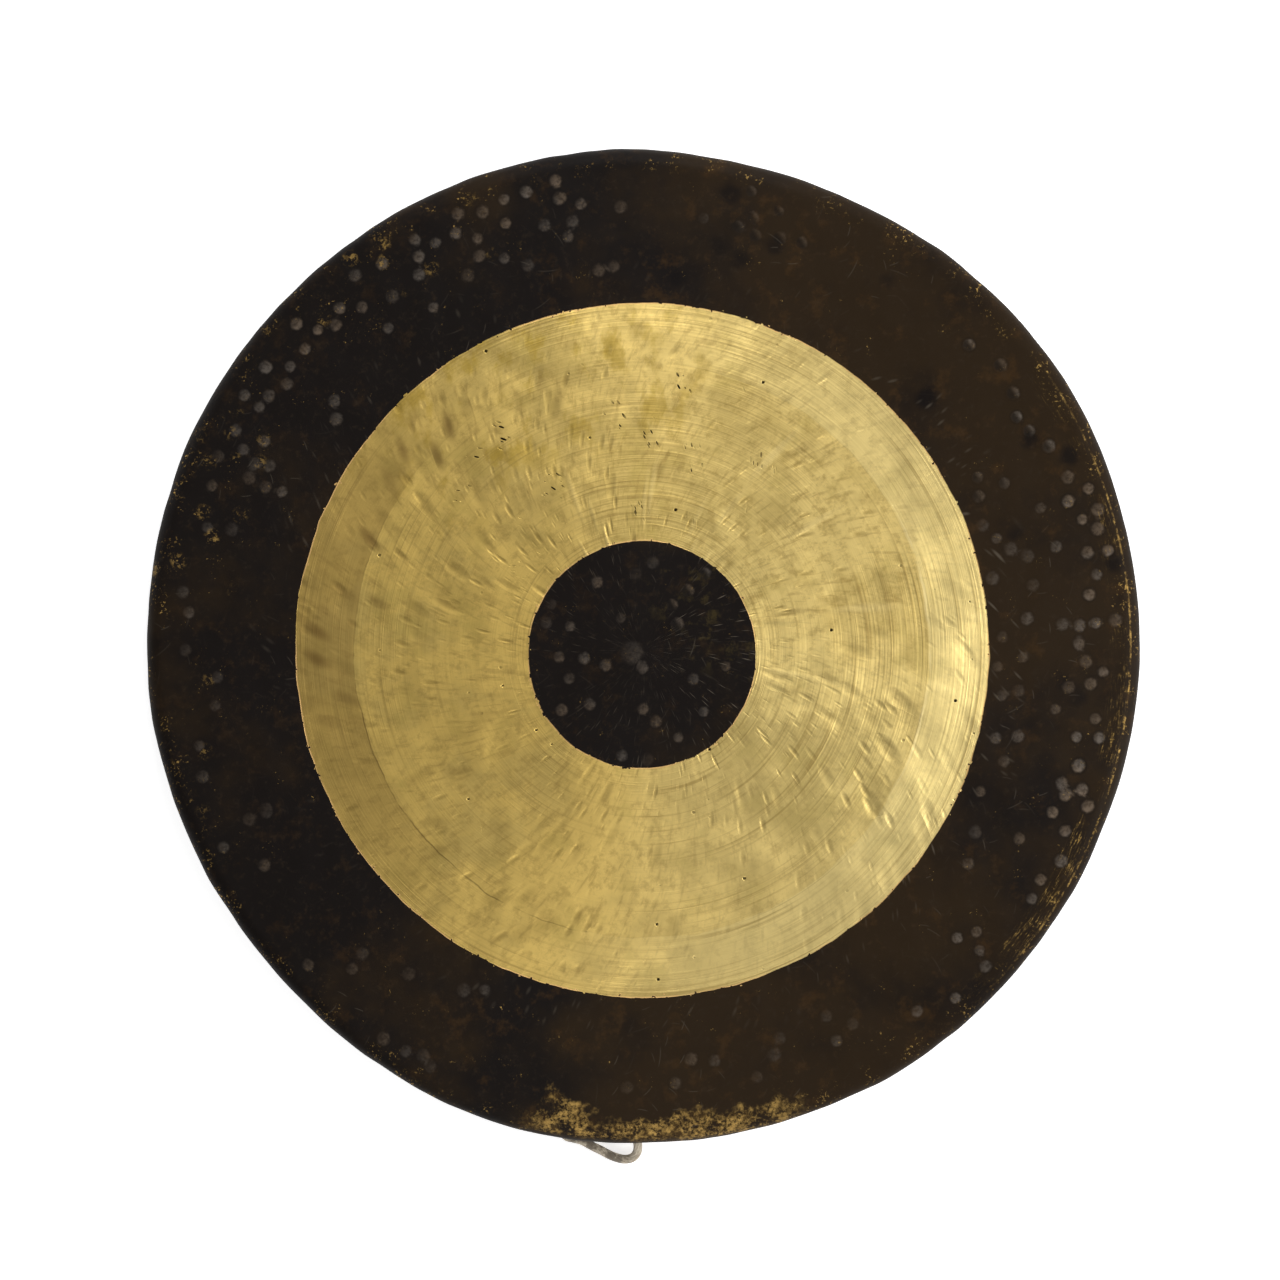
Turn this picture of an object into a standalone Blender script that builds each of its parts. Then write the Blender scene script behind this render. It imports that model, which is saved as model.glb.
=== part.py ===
"""A hand-hammered tam-tam gong, lying face up on its rim, with the cord that it hangs by.

The gong is one sheet of bronze: a slightly crowned face, a rounded shoulder and a rim that turns back and
inwards. The cord passes through two holes in the rim. A short bight of it shows outside, and the rest lies
slack in the hollow, with its ends tied in a reef knot.

Units are metres. +Z is up and out of the face, +Y is away from the cord. The rim's edge lies on z = 0, and
the origin is under the middle of the gong's box.
"""

from math import cos, hypot, pi, radians, sin, sqrt, tan

import bmesh
import bpy
from mathutils import Matrix, Vector

# The gong
GONG_RADIUS = 0.300
RIM_DEPTH = 0.040
CROWN = 0.005
SHEET = 0.0018
SHOULDER_RADIUS = 0.010
RIM_TAPER = radians(10)
DISC_RADIUS = 0.069
RING_RADIUS = 0.210
# Hammering leaves the outline slightly out of round: lobes, height and direction of the first lobe
OUTLINE_WAVES = (
    (2, 0.0008, radians(-95)),
    (3, 0.0013, radians(70)),
    (4, 0.0004, radians(40)),
    (5, 0.0007, radians(170)),
    (7, 0.0005, radians(-40)),
)
TURN_STEPS = 96
SHOULDER_STEPS = 5
WALL_STEPS = 2

# The two cord holes in the rim
HOLE_RADIUS = 0.0045
HOLE_HEIGHT = 0.013
HOLE_SIDES = 24
LEFT_HOLE_X = -0.0495
RIGHT_HOLE_X = -0.0037
DRILL_LENGTH = 0.020

# The cord
CORD_RADIUS = 0.00275
FLOOR_GAP = 0.0001
CORD_ON_FLOOR = CORD_RADIUS + FLOOR_GAP
GAP = 0.0003
CURVE_STEPS = 40
BIGHT_SPACING = 0.004
RUN_SPACING = 0.010
TAIL_LENGTH = 0.022
TAIL_TURN = 0.004
BALL_STEPS = (0.50, 0.80, 0.95)

# The reef knot lies flat on the surface, with a standing part and a tail on each side
KNOT_PLACE = Vector((-0.026, -0.204, 0))
KNOT_HALF = Vector((0.0183, 0.0133, 0.0057))
KNOT_ROUNDING = 0.004
LEG_OFFSET = 0.0030

# The cord's route, from the knot's left side to its right side
LEFT_RUN = (
    KNOT_PLACE + Vector((-KNOT_HALF.x, -LEG_OFFSET, CORD_ON_FLOOR)),
    Vector((-0.0570, -0.2066, CORD_ON_FLOOR)),
    Vector((-0.0705, -0.2076, CORD_ON_FLOOR)),
    Vector((-0.0840, -0.2118, CORD_ON_FLOOR)),
    Vector((-0.0955, -0.2205, CORD_ON_FLOOR)),
    Vector((-0.1000, -0.2330, CORD_ON_FLOOR)),
    Vector((-0.0960, -0.2450, CORD_ON_FLOOR)),
    Vector((-0.0855, -0.2560, 0.0030)),
    Vector((-0.0730, -0.2655, 0.0044)),
    Vector((-0.0615, -0.2745, 0.0076)),
    Vector((-0.0537, -0.2840, 0.0114)),
    Vector((-0.0495, -0.2929, HOLE_HEIGHT)),
)
BIGHT = (
    Vector((-0.0469, -0.2975, 0.0124)),
    Vector((-0.0429, -0.2988, 0.0119)),
    Vector((-0.0365, -0.3009, 0.0103)),
    Vector((-0.0289, -0.3050, 0.0076)),
    Vector((-0.0205, -0.3095, 0.0046)),
    Vector((-0.0122, -0.3123, 0.0030)),
    Vector((-0.0068, -0.3113, 0.0041)),
    Vector((-0.0040, -0.3078, 0.0070)),
    Vector((-0.0035, -0.3043, 0.0098)),
    Vector((-0.0037, -0.3010, 0.0124)),
)
RIGHT_RUN = (
    Vector((-0.0037, -0.2966, HOLE_HEIGHT)),
    Vector((-0.0035, -0.2900, 0.0120)),
    Vector((-0.0020, -0.2825, 0.0086)),
    Vector((0.0025, -0.2735, 0.0050)),
    Vector((0.0110, -0.2635, 0.0031)),
    Vector((0.0205, -0.2520, CORD_ON_FLOOR)),
    Vector((0.0255, -0.2380, CORD_ON_FLOOR)),
    Vector((0.0232, -0.2245, CORD_ON_FLOOR)),
    Vector((0.0157, -0.2142, CORD_ON_FLOOR)),
    Vector((0.0045, -0.2083, CORD_ON_FLOOR)),
    KNOT_PLACE + Vector((KNOT_HALF.x, -LEG_OFFSET, CORD_ON_FLOOR)),
)
# The bight turns about the line through its two ends, which lie just outside the holes
LEFT_PIVOT = BIGHT[0]
RIGHT_PIVOT = BIGHT[-1]


def clear_scene():
    for obj in list(bpy.data.objects):
        bpy.data.objects.remove(obj)


def new_collection(name):
    collection = bpy.data.collections.new(name)
    bpy.context.scene.collection.children.link(collection)
    return collection


def principled(name, color, roughness, metallic):
    material = bpy.data.materials.new(name)
    material.use_nodes = True
    shader = material.node_tree.nodes["Principled BSDF"]
    shader.inputs["Base Color"].default_value = (*color, 1)
    shader.inputs["Roughness"].default_value = roughness
    shader.inputs["Metallic"].default_value = metallic
    return material


def linked_object(name, data, collection):
    obj = bpy.data.objects.new(name, data)
    collection.objects.link(obj)
    return obj


def as_mesh_object(obj, collection):
    """The object's evaluated shape as a mesh of its own, in place of the object."""
    bpy.context.view_layer.update()
    graph = bpy.context.evaluated_depsgraph_get()
    mesh = bpy.data.meshes.new_from_object(obj.evaluated_get(graph))
    name, place = obj.name, obj.matrix_world.copy()
    bpy.data.objects.remove(obj)
    solid = linked_object(name, mesh, collection)
    solid.matrix_world = place
    return solid


# ---------------------------------------------------------------- gong


def face_height(radius):
    """The height of the face's outer side: level at the middle and where the shoulder starts."""
    face_radius = GONG_RADIUS - SHOULDER_RADIUS
    return RIM_DEPTH + CROWN * (1 + cos(pi * radius / face_radius)) / 2


def skin(inset):
    """One side of the sheet as (radius, height), from the middle of the face to the rim's edge."""
    face_radius = GONG_RADIUS - SHOULDER_RADIUS
    ring_middle = (DISC_RADIUS + RING_RADIUS) / 2
    band_middle = (RING_RADIUS + face_radius) / 2
    face_radii = (0, DISC_RADIUS, ring_middle, RING_RADIUS, band_middle)
    points = [(radius, face_height(radius) - inset) for radius in face_radii]
    bend_radius = SHOULDER_RADIUS - inset
    bend_height = RIM_DEPTH - SHOULDER_RADIUS
    for step in range(SHOULDER_STEPS + 1):
        angle = pi / 2 - (pi / 2 + RIM_TAPER) * step / SHOULDER_STEPS
        points.append((face_radius + bend_radius * cos(angle), bend_height + bend_radius * sin(angle)))
    wall_radius, wall_top = points[-1]
    for step in range(1, WALL_STEPS + 1):
        drop = wall_top * step / WALL_STEPS
        points.append((wall_radius - drop * tan(RIM_TAPER), wall_top - drop))
    return points


def sheet_profile():
    """The sheet's section, down its outer side and back up its inner side, both ends on the axis."""
    outer, inner = skin(0), skin(SHEET)
    section = outer + inner[::-1]
    curve = bpy.data.meshes.new("sheet_section")
    points = [(radius, 0, height) for radius, height in section]
    edges = [(index, index + 1) for index in range(len(points) - 1)]
    curve.from_pydata(points, edges, [])
    return curve


def outline_wave(angle):
    """How far hammering has moved the outline outwards at this angle."""
    return sum(height * cos(lobes * angle - start) for lobes, height, start in OUTLINE_WAVES)


def hammer_outline(mesh):
    """Moves the points outwards or inwards by the outline's waves, more towards the rim, and centres the box."""
    for vertex in mesh.vertices:
        x, y, _ = vertex.co
        radius = hypot(x, y)
        if radius < DISC_RADIUS / 2:
            continue
        angle = Vector((1, 0)).angle_signed(Vector((x, -y)))
        reach = min(radius / GONG_RADIUS, 1) ** 2
        moved = 1 + reach * outline_wave(angle) / radius
        vertex.co.x = x * moved
        vertex.co.y = y * moved
    for axis in (0, 1):
        places = [vertex.co[axis] for vertex in mesh.vertices]
        middle = (min(places) + max(places)) / 2
        for vertex in mesh.vertices:
            vertex.co[axis] -= middle


def paint_zones(mesh):
    """Gives the scraped ring of the face its bronze, and leaves the rest dark."""
    for face in mesh.polygons:
        radius = hypot(face.center.x, face.center.y)
        on_face = face.normal.z > 0 and face.center.z > RIM_DEPTH - SHEET / 2
        face.material_index = int(on_face and DISC_RADIUS < radius < RING_RADIUS)


def hole_drill(name, x, collection):
    """A cylinder along the rim's radius, at this x on the cord's side."""
    bpy.ops.mesh.primitive_cylinder_add(vertices=HOLE_SIDES, radius=HOLE_RADIUS, depth=DRILL_LENGTH)
    drill = bpy.context.object
    drill.name = name
    wall_y = -sqrt(GONG_RADIUS**2 - x**2)
    drill.location = (x, wall_y, HOLE_HEIGHT)
    drill.rotation_mode = "QUATERNION"
    drill.rotation_quaternion = Vector((x, wall_y, 0)).to_track_quat("Z", "Y")
    for owner in list(drill.users_collection):
        owner.objects.unlink(drill)
    collection.objects.link(drill)
    drill.hide_render = True
    drill.display_type = "WIRE"
    return drill


def build_gong(parts, cutters, patina, bronze):
    turned = linked_object("gong", sheet_profile(), parts)
    screw = turned.modifiers.new("turn", "SCREW")
    screw.steps = TURN_STEPS
    screw.render_steps = TURN_STEPS
    screw.use_merge_vertices = True
    screw.merge_threshold = 0.0001
    gong = as_mesh_object(turned, parts)
    hammer_outline(gong.data)
    gong.data.materials.append(patina)
    gong.data.materials.append(bronze)
    paint_zones(gong.data)
    gong.data.shade_smooth()
    gong.data.set_sharp_from_angle(angle=radians(40))
    for name, x in (("left_hole_drill", LEFT_HOLE_X), ("right_hole_drill", RIGHT_HOLE_X)):
        drilling = gong.modifiers.new(name, "BOOLEAN")
        drilling.operation = "DIFFERENCE"
        drilling.object = hole_drill(name, x, cutters)
    return gong


# ---------------------------------------------------------------- cord


def catmull_rom(before, start, end, after, t):
    """A point of the curve from start to end, with each end's direction taken from its neighbours."""
    leave, arrive = (end - before) / 2, (after - start) / 2
    return (
        start * (2 * t**3 - 3 * t**2 + 1)
        + leave * (t**3 - 2 * t**2 + t)
        + end * (3 * t**2 - 2 * t**3)
        + arrive * (t**3 - t**2)
    )


def smooth_curve(route):
    """Close points on one smooth curve through the route's points, CURVE_STEPS for each stretch."""
    fine = []
    last = len(route) - 1
    for index in range(last):
        before, start = route[max(index - 1, 0)], route[index]
        end, after = route[index + 1], route[min(index + 2, last)]
        for step in range(CURVE_STEPS):
            fine.append(catmull_rom(before, start, end, after, step / CURVE_STEPS))
    fine.append(route[last].copy())
    return fine


def respaced(points, spacing):
    """Points along the same line, about this far apart."""
    along = [0.0]
    for here, there in zip(points, points[1:]):
        along.append(along[-1] + (there - here).length)
    count = max(2, round(along[-1] / spacing))
    spaced, index = [], 0
    for step in range(count + 1):
        goal = along[-1] * step / count
        while index < len(points) - 2 and along[index + 1] < goal:
            index += 1
        share = (goal - along[index]) / (along[index + 1] - along[index])
        spaced.append(points[index].lerp(points[index + 1], share))
    return spaced


def trimmed(points, from_start, from_end):
    """The points that are further than these distances from the line's two ends."""
    start, end = points[0], points[-1]
    return [p for p in points if (p - start).length > from_start and (p - end).length > from_end]


def cord_tube(name, points, sizes, parts, material):
    curve = bpy.data.curves.new(name, "CURVE")
    curve.dimensions = "3D"
    curve.bevel_depth = CORD_RADIUS
    curve.bevel_resolution = 2
    curve.use_fill_caps = True
    spline = curve.splines.new("POLY")
    spline.points.add(len(points) - 1)
    for spot, point, size in zip(spline.points, points, sizes):
        spot.co = (*point, 1)
        spot.radius = size
    curve.materials.append(material)
    return linked_object(name, curve, parts)


def ball_end(end, inner):
    """Points past the end of a line, and their sizes, that close the tube with half a ball."""
    outward = (end - inner).normalized()
    points = [end + outward * CORD_RADIUS * step for step in BALL_STEPS]
    return points, [sqrt(1 - step**2) for step in BALL_STEPS]


def build_bight(line, parts, material):
    """The stretch outside the rim. Its ends are balls about the hinge line, so they turn in their gaps."""
    line = respaced(line, BIGHT_SPACING)
    first, first_sizes = ball_end(line[0], line[1])
    last, last_sizes = ball_end(line[-1], line[-2])
    sizes = first_sizes[::-1] + [1.0] * len(line) + last_sizes
    hinge = linked_object("bight_hinge", None, parts)
    hinge.location = (LEFT_PIVOT + RIGHT_PIVOT) / 2
    points = [point - hinge.location for point in first[::-1] + line + last]
    bight = cord_tube("cord_bight", points, sizes, parts, material)
    bight.parent = hinge
    return bight


def build_run(name, line, parts, material):
    """A stretch between the knot and the hinge line, through a hole and over the surface."""
    points = respaced(line, RUN_SPACING)
    return cord_tube(name, points, [1.0] * len(points), parts, material)


def build_loop(parts, material):
    """The cord between the two sides of the knot, cut where it hinges."""
    line = smooth_curve(LEFT_RUN + BIGHT + RIGHT_RUN)
    left = len(LEFT_RUN) * CURVE_STEPS
    right = (len(LEFT_RUN) + len(BIGHT) - 1) * CURVE_STEPS
    build_bight(line[left : right + 1], parts, material)
    left_run = trimmed(line[: left + 1], GAP, CORD_RADIUS + GAP)
    build_run("cord_run_left", left_run, parts, material)
    right_run = trimmed(line[right:], CORD_RADIUS + GAP, GAP)
    build_run("cord_run_right", right_run, parts, material)


def build_tail(name, side, parts, material):
    """A loose end beside the standing part, on this side of the knot: -1 is left and 1 is right."""
    start = KNOT_PLACE + Vector((side * (KNOT_HALF.x + GAP), LEG_OFFSET, CORD_ON_FLOOR))
    end = start + Vector((side * TAIL_LENGTH, TAIL_TURN, 0))
    middle = start.lerp(end, 0.5) - Vector((0, TAIL_TURN / 4, 0))
    return build_run(name, smooth_curve((start, middle, end)), parts, material)


def build_knot(parts, material):
    """The reef knot's outer shape."""
    mesh = bpy.data.meshes.new("cord_knot")
    shape = bmesh.new()
    bmesh.ops.create_cube(shape, size=2, matrix=Matrix.Diagonal((*KNOT_HALF, 1)))
    shape.to_mesh(mesh)
    shape.free()
    mesh.materials.append(material)
    knot = linked_object("cord_knot", mesh, parts)
    knot.location = KNOT_PLACE + Vector((0, 0, KNOT_HALF.z + FLOOR_GAP))
    rounding = knot.modifiers.new("rounding", "BEVEL")
    rounding.width = KNOT_ROUNDING
    rounding.segments = 3
    mesh.shade_smooth()
    return knot


def main():
    clear_scene()
    parts = new_collection("tam_tam_gong")
    cutters = new_collection("cutters")
    cutters.hide_render = True
    patina = principled("dark_patina", (0.022, 0.017, 0.014), 0.45, 0.6)
    bronze = principled("scraped_bronze", (0.46, 0.33, 0.11), 0.35, 1.0)
    twine = principled("grubby_cotton", (0.34, 0.31, 0.26), 0.9, 0.0)
    build_gong(parts, cutters, patina, bronze)
    build_loop(parts, twine)
    build_knot(parts, twine)
    build_tail("cord_tail_left", -1, parts, twine)
    build_tail("cord_tail_right", 1, parts, twine)


main()
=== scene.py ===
"""The looks of the tam-tam gong: its hammered bronze, its patina and the cord that it hangs by.

Units are metres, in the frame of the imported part: the gong lies face up on its rim, +Z is up and -Y is
where the cord leaves it.
"""

from math import cos, hypot, pi, radians, sin

import bmesh
import bpy
import numpy as np
from mathutils import Matrix, Vector


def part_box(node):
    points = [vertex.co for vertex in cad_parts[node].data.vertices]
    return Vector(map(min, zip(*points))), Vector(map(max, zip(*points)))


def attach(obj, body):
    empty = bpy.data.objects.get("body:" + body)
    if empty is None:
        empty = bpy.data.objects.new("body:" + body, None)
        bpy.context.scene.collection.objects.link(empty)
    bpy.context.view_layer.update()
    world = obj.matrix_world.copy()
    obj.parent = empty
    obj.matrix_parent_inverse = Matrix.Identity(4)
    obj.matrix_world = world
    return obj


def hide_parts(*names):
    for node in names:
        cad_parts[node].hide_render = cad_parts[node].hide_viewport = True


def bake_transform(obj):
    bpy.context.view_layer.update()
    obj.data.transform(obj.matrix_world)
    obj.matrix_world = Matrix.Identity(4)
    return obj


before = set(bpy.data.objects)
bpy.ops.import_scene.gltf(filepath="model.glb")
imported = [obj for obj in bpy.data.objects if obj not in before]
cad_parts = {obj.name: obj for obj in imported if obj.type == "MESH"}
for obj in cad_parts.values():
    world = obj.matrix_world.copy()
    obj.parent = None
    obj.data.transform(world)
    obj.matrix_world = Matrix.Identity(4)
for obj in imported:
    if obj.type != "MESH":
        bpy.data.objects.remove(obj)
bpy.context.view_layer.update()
GONG_LOW, GONG_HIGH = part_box("gong")

# The gong, as the part has it
CROWN = 0.005
SHEET = 0.0018
SHOULDER_RADIUS = 0.010
RIM_TAPER = radians(10)
GONG_RADIUS = 0.300
FACE_RADIUS = GONG_RADIUS - SHOULDER_RADIUS
RIM_DEPTH = GONG_HIGH.z - CROWN
OUTLINE_WAVES = (
    (2, 0.0008, radians(-95)),
    (3, 0.0013, radians(70)),
    (4, 0.0004, radians(40)),
    (5, 0.0007, radians(170)),
    (7, 0.0005, radians(-40)),
)
HOLE_RADIUS = 0.0045
HOLE_HEIGHT = 0.013
HOLE_XS = (-0.0495, -0.0037)
DRILL_LENGTH = 0.02
DRILL_SIDES = 32

# The scraped ring on the face, and the dark disc in its middle
RING_RADIUS = 0.2095
DISC_RADIUS = 0.0685
RING_CENTRE = (-0.0007, -0.0026)
DISC_CENTRE = (-0.0008, -0.0053)
OUTER_STEP = 0.1735
INNER_STEP = 0.112

# The slope that scraping gives each band of the face: radius and height
BAND_SLOPES = (
    (0, 0.0003),
    (DISC_RADIUS, 0.0003),
    (INNER_STEP, 0.0005),
    (OUTER_STEP, 0.0),
    (RING_RADIUS, -0.0010),
    (0.245, 0.0),
)
BAND_FADE = 0.010
BAND_DROP = 0.004

# The waves that hammering leaves in the sheet: number, wavelength, height
BROAD_WAVES = (40, 0.070, 0.00022)
SMALL_WAVES = (60, 0.026, 0.00013)
WAVELENGTHS = (0.6, 1.6)
STILL_EDGE = 0.006
SEED = 24

# How fine the gong's mesh is. Each ring has this many points more than the one inside it.
GROWTH = 6
FACE_RINGS = 132
INSIDE_RINGS = 66
SHOULDER_STEPS = 10
WALL_STEPS = 12
LIP_STEPS = 5
INSIDE_WALL_STEPS = 7
INSIDE_BEND_STEPS = 5
SHARP_ANGLE = radians(50)

# Hammer marks. Each patch is an angle range in degrees, a radius range, a number and a strength.
MARK_RADIUS = 0.0041
MARK_DEPTH = 0.00045
MARK_REACH = 2.5
MARK_PATCHES = (
    (96, 152, 0.264, 0.285, 24, 0.75),
    (96, 160, 0.226, 0.262, 16, 0.5),
    (150, 200, 0.255, 0.285, 13, 0.35),
    (60, 96, 0.250, 0.286, 8, 0.3),
    (26, 44, 0.262, 0.284, 5, 0.8),
    (-24, 27, 0.266, 0.286, 24, 1.0),
    (-10, 24, 0.246, 0.264, 6, 0.7),
    (-60, -26, 0.250, 0.286, 9, 0.75),
    (-34, 28, 0.214, 0.240, 20, 0.45),
    (200, 258, 0.228, 0.286, 12, 0.35),
    (262, 300, 0.248, 0.272, 9, 0.35),
)
MARK_SIZES = (0.85, 1.1)
MARK_STRENGTHS = (0.40, 1.0)
MARK_SPACING = 0.0102
MARK_TRIES = 12
PAIR_SHARE = 0.16
PAIR_APART = (0.0075, 0.0115)
PAIR_STRENGTH = 0.8
DISC_MARKS = 26
DISC_MARK_SIZES = (0.8, 1.05)
DISC_MARK_STRENGTHS = (0.08, 0.50)
DISC_SHARE = 0.93
DISC_BLOTCH = (-0.007, -0.004, 0.0075, 0.2)

# The cord, as the part has it. C is the height of its middle where it lies on the surface.
CORD_RADIUS = 0.00275
C = 0.00285
KNOT = Vector((-0.026, -0.204, 0))
STRAND_PITCH = 0.016
STRAND_LOW = 0.93
STRAND_RELIEF = 0.09
TIP_SIZE = 0.2
CORD_SIDES = 24
CORD_SPACING = 0.0011
CURVE_STEPS = 24
LEFT_RUN = (
    (-0.0570, -0.2066, C),
    (-0.0705, -0.2076, C),
    (-0.0840, -0.2118, C),
    (-0.0955, -0.2205, C),
    (-0.1000, -0.2330, C),
    (-0.0960, -0.2450, C),
    (-0.0855, -0.2560, 0.0030),
    (-0.0730, -0.2655, 0.0044),
    (-0.0615, -0.2745, 0.0076),
    (-0.0537, -0.2840, 0.0114),
    (-0.0495, -0.2929, 0.0130),
)
BIGHT = (
    (-0.0469, -0.2975, 0.0124),
    (-0.0429, -0.2988, 0.0119),
    (-0.0365, -0.3009, 0.0103),
    (-0.0289, -0.3050, 0.0076),
    (-0.0205, -0.3095, 0.0046),
    (-0.0122, -0.3123, 0.0030),
    (-0.0068, -0.3113, 0.0041),
    (-0.0040, -0.3078, 0.0070),
    (-0.0035, -0.3043, 0.0098),
    (-0.0037, -0.3010, 0.0124),
)
RIGHT_RUN = (
    (-0.0037, -0.2966, 0.0130),
    (-0.0035, -0.2900, 0.0120),
    (-0.0020, -0.2825, 0.0086),
    (0.0025, -0.2735, 0.0050),
    (0.0110, -0.2635, 0.0031),
    (0.0205, -0.2520, C),
    (0.0255, -0.2380, C),
    (0.0232, -0.2245, C),
    (0.0157, -0.2142, C),
)
# One bight of the reef knot, from its leg to its closed end: along, across, and level, 0 low and 1 high
KNOT_BIGHT = (
    (-0.0120, 0.0030, 0.0),
    (-0.0070, 0.0034, 0.25),
    (-0.0035, 0.0047, 0.80),
    (0.0000, 0.0067, 1.0),
    (0.0035, 0.0087, 0.80),
    (0.0070, 0.0100, 0.28),
    (0.0110, 0.0096, 0.0),
    (0.0143, 0.0064, 0.0),
)
KNOT_END = (0.0156, 0.0, 0.0)
KNOT_LIFT = 0.0056

# Colours of the scraped ring, some of them painted light and shade
BRONZE_SHADED_LEFT = (0.76, 0.53, 0.145, 1)
BRONZE_LIT_RIGHT = (0.94, 0.71, 0.255, 1)
BRONZE_CLOUD = (0.55, 0.40, 0.125, 1)
BRONZE_OLIVE = (0.48, 0.35, 0.09, 1)
BRONZE_GRAIN = (0.44, 0.30, 0.085, 1)
BRONZE_STREAK = (0.42, 0.28, 0.08, 1)
# Painted shade, with some dirt, in the dents
BRONZE_DENT_DIRT_AND_SHADE = (0.34, 0.23, 0.06, 1)
BRONZE_YELLOW = (0.46, 0.30, 0.035, 1)
BRONZE_STAIN = (0.20, 0.12, 0.035, 1)
# Painted shade past the step on the left, painted light on the right, and a painted highlight along the step
BRONZE_OUTER_SHADE = (0.36, 0.23, 0.065, 1)
BRONZE_PAINTED_LIGHT = (1.0, 0.82, 0.37, 1)
BRONZE_STEP_HIGHLIGHT = (1.0, 0.83, 0.42, 1)
BRONZE_HAIRLINE = (0.13, 0.08, 0.025, 1)
BRONZE_LINE = (0.36, 0.24, 0.07, 1)
# Painted highlight on the ring's long sweeps
BRONZE_SWEEP_HIGHLIGHT = (1.0, 0.80, 0.36, 1)
BRONZE_PIT = (0.02, 0.014, 0.006, 1)
RING_EDGE = (0.90, 0.56, 0.22, 1)

# Colours of the dark skin
SKIN_BLACK = (0.0068, 0.0050, 0.0043, 1)
SKIN_BROWN = (0.019, 0.0112, 0.0050, 1)
SKIN_RUST = (0.038, 0.019, 0.0060, 1)
SKIN_SOOT = (0.0035, 0.0028, 0.0030, 1)
SKIN_GRAIN = (0.026, 0.018, 0.011, 1)
SKIN_STAIN = (0.045, 0.032, 0.011, 1)
SKIN_SCRATCH = (0.10, 0.082, 0.060, 1)
# Tones of the hammer marks, laid on as wear and as a painted lit crescent
MARK_GREY = (0.150, 0.126, 0.104, 1)
MARK_BROWN = (0.153, 0.112, 0.078, 1)
MARK_SHADE = (0.004, 0.003, 0.0025, 1)
WORN_GOLD = (0.47, 0.295, 0.085, 1)
WORN_DIRTY = (0.055, 0.032, 0.012, 1)

# Colours of the cord and the stage
COTTON_DARK = (0.28, 0.225, 0.155, 1)
COTTON_PALE = (0.66, 0.58, 0.45, 1)
COTTON_GRIME = (0.085, 0.064, 0.042, 1)
FLOOR_DARK = (0.90, 0.90, 0.90, 1)
FLOOR_PALE = (0.94, 0.94, 0.94, 1)
WHITE = (1, 1, 1, 1)

# The stage. Each light is its name, place, size and power.
CAMERA_DISTANCE = 4.5
CAMERA_PLACE = (-0.0021, 0.0036, CAMERA_DISTANCE + 0.030)
PICTURE_WIDTH = 0.7741
SENSOR_WIDTH = 36
LIGHTS = (
    ("key", (1.30, -0.12, 1.00), 1.0, 13),
    ("far_side", (0.05, 1.40, 1.10), 0.9, 13),
    ("near_side", (-0.10, -1.40, 1.10), 0.9, 9),
    ("left_edge", (-1.70, 0.70, 0.50), 0.5, 4),
)
SKY_WAY = (0.75, 0.62, 0.0)
SKY_RANGE = (("From Min", -0.75), ("From Max", 0.75), ("To Min", 0.06), ("To Max", 0.86))
FLOOR_HALF = 8
FLOOR_GLOW = 0.60
FLOOR_COVERED = (0.280, 0.296)


# ---------------------------------------------------------------- nodes


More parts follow.
